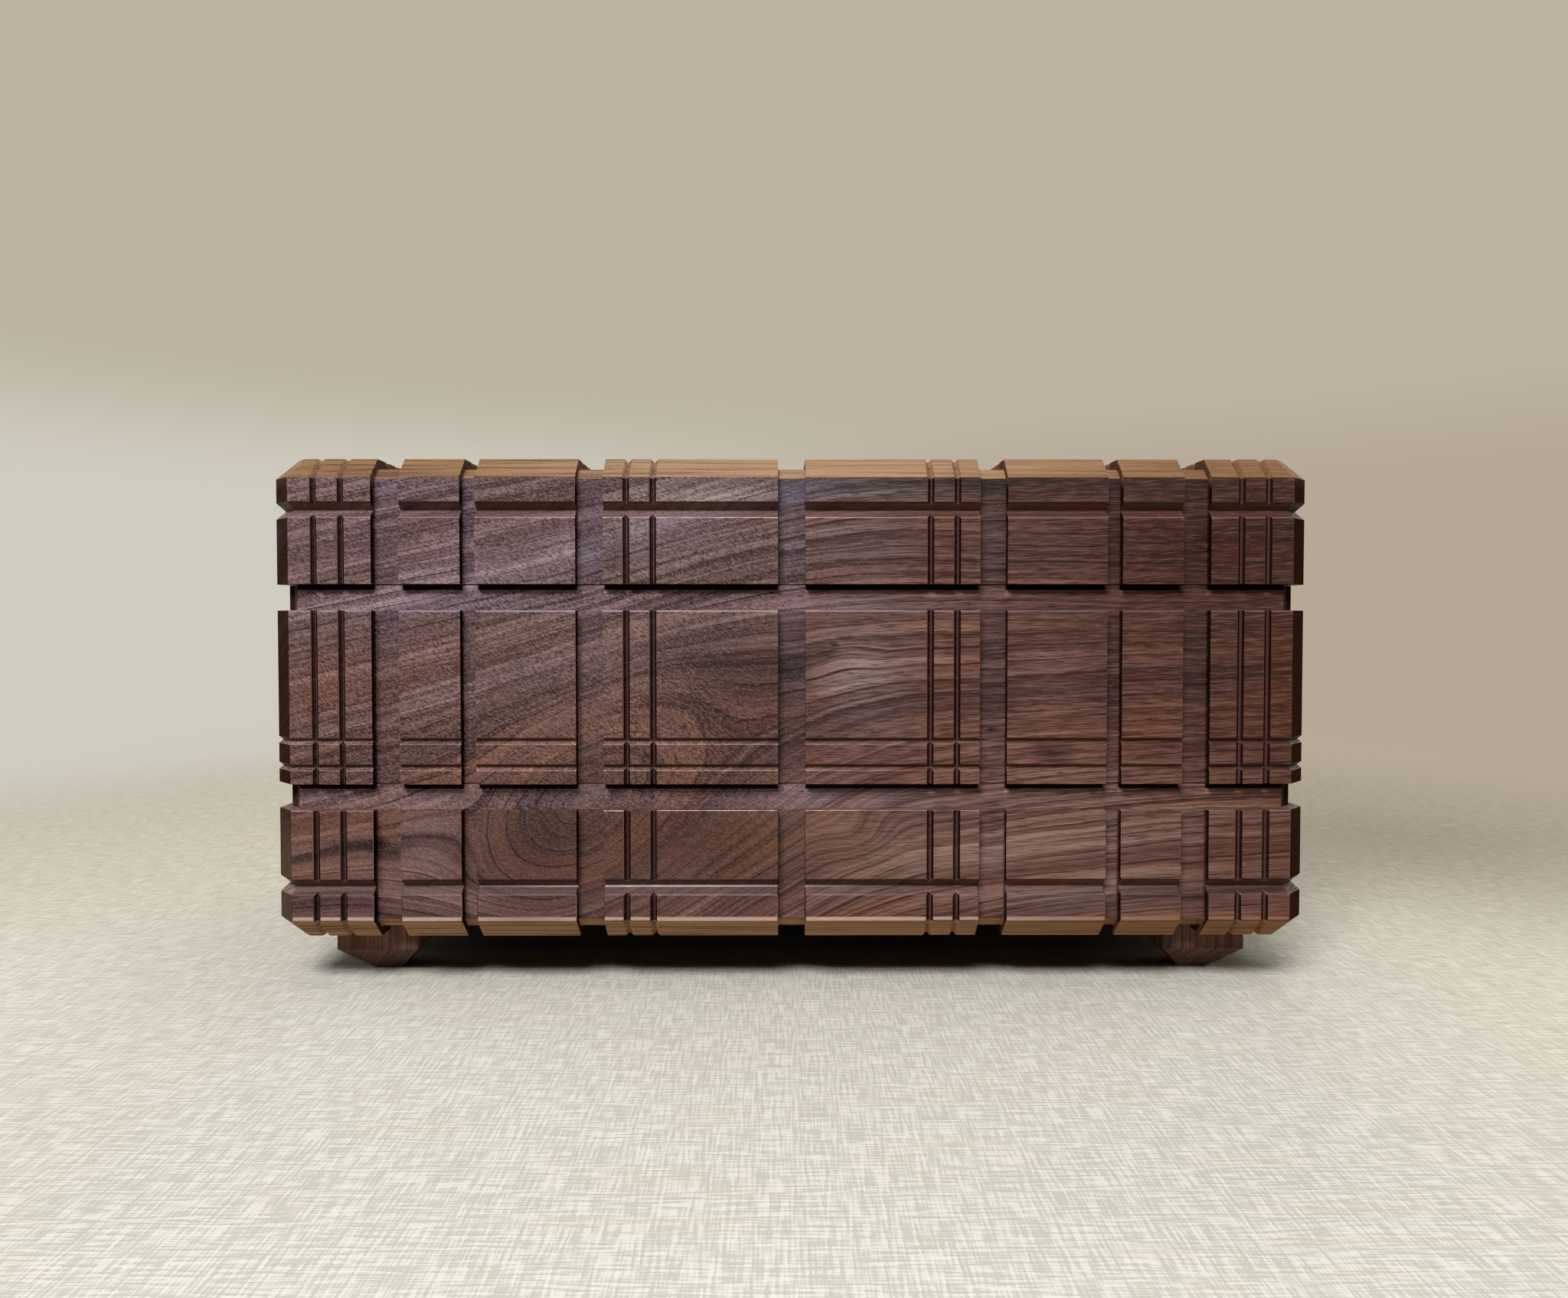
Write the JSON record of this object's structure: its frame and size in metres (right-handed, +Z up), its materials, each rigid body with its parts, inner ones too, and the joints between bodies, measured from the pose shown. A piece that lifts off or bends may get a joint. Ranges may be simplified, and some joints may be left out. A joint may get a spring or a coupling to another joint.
{
  "type": "puzzle box",
  "caption": "Low walnut puzzle box carved with a plaid of channels and V grooves, in three sliding tiers on tapered feet: lid, middle tier with till, and base with cam-driven drawer.",
  "frame": {"origin": "on the floor under the feet, at the middle of the box's width and depth", "axes": "+X right along the front, +Y towards the back, +Z up; the front faces -Y"},
  "size_m": [0.305, 0.2, 0.1567],
  "materials": {
    "walnut": "oiled, low sheen, carved faces",
    "walnut_inner": "planed, thin oil",
    "maple": "planed, waxed",
    "brass": "turned, satin"
  },
  "bodies": {
    "base": {"base_left": "walnut", "base_right": "walnut", "base_back": "walnut", "base_panel": "walnut_inner", "front_rail": "walnut_inner", "back_rail": "walnut_inner", "drawer_guide_left": "walnut_inner", "drawer_guide_right": "walnut_inner", "base_dowels": "maple", "foot_front_left": "walnut", "foot_front_right": "walnut", "foot_back_left": "walnut", "foot_back_right": "walnut", "foot_screws": "brass"},
    "drawer": {"drawer_front": "walnut", "drawer_left": "walnut_inner", "drawer_right": "walnut_inner", "drawer_back": "walnut_inner", "drawer_bottom": "walnut_inner", "cam_pin": "brass"},
    "middle": {"middle_front": "walnut", "middle_back": "walnut", "middle_left": "walnut", "middle_right": "walnut", "middle_floor": "walnut_inner", "middle_dowels": "maple", "cam_plate": "maple", "cam_screws": "brass", "runner_front": "maple", "runner_back": "maple", "till_rail_front": "walnut_inner", "till_rail_back": "walnut_inner"},
    "till": {"till_tray": "walnut_inner"},
    "left_key": {"left_key": "walnut", "left_key_plate": "walnut_inner", "left_key_screw": "brass"},
    "right_key": {"right_key": "walnut", "right_key_plate": "walnut_inner", "right_key_screw": "brass"},
    "lid": {"lid_front": "walnut", "lid_back": "walnut", "lid_left": "walnut", "lid_right": "walnut", "lid_top": "walnut", "lid_cleat_front": "walnut_inner", "lid_cleat_back": "walnut_inner", "lid_runner_left": "maple", "lid_runner_right": "maple", "lid_dowels": "maple", "lid_fixed_panel": "walnut_inner"},
    "hidden_panel": {"lid_sliding_panel": "walnut_inner"}
  },
  "joints": [
    {"name": "middle_slide", "type": "slide", "parent": "base", "child": "middle", "axis": [1, 0, 0], "range_m": [0, 0.05]},
    {"name": "drawer_slide", "type": "slide", "parent": "base", "child": "drawer", "axis": [0, -1, 0], "range_m": [0, 0.05]},
    {"name": "till_slide", "type": "slide", "parent": "middle", "child": "till", "axis": [1, 0, 0], "range_m": [0, 0.145]},
    {"name": "left_key_lift", "type": "slide", "parent": "middle", "child": "left_key", "axis": [0, 0, 1], "range_m": [0, 0.007]},
    {"name": "right_key_lift", "type": "slide", "parent": "middle", "child": "right_key", "axis": [0, 0, 1], "range_m": [0, 0.007]},
    {"name": "lid_slide", "type": "slide", "parent": "middle", "child": "lid", "axis": [0, 1, 0], "range_m": [0, 0.088]},
    {"name": "hidden_panel_slide", "type": "slide", "parent": "lid", "child": "hidden_panel", "axis": [1, 0, 0], "range_m": [0, 0.07]}
  ],
  "couplings": [
    {"joint": "drawer_slide", "follows": "middle_slide", "ratio": 1}
  ]
}
